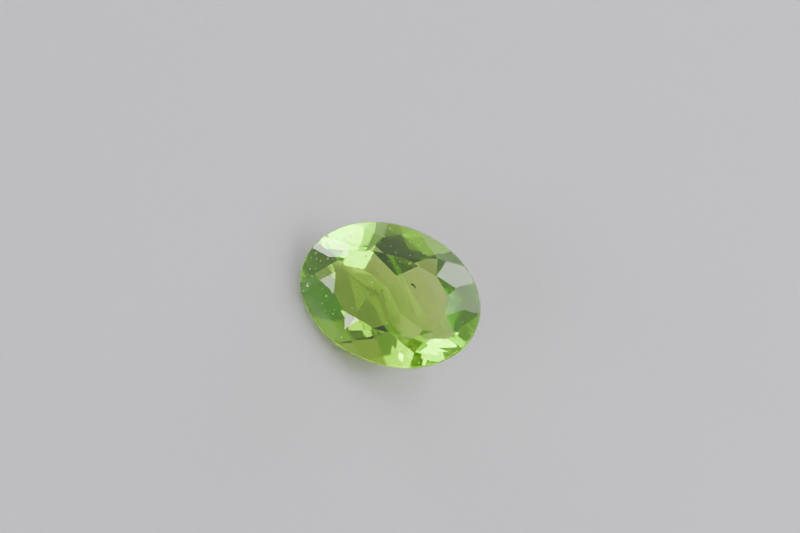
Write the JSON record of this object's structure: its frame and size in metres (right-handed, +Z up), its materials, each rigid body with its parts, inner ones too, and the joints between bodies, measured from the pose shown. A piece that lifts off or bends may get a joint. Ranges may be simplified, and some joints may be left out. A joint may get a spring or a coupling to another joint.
{
  "type": "oval cut gemstone",
  "caption": "Loose oval faceted stone, clear green, with a flat table and thin girdle, lying on one facet of its pavilion.",
  "frame": {"origin": "middle of the underside of the stone's bounding box, on the surface that it lies on", "axes": "+X along the oval's long side, +Y across it towards the side where the table is raised, +Z up, away from the surface it lies on"},
  "size_m": [0.0076, 0.0054, 0.004],
  "materials": {
    "green_crystal": "clear yellow-green crystal, flat polished facets with softly worn edges and a finely ground girdle"
  },
  "bodies": {
    "root": {"stone": "green_crystal"}
  },
  "joints": []
}
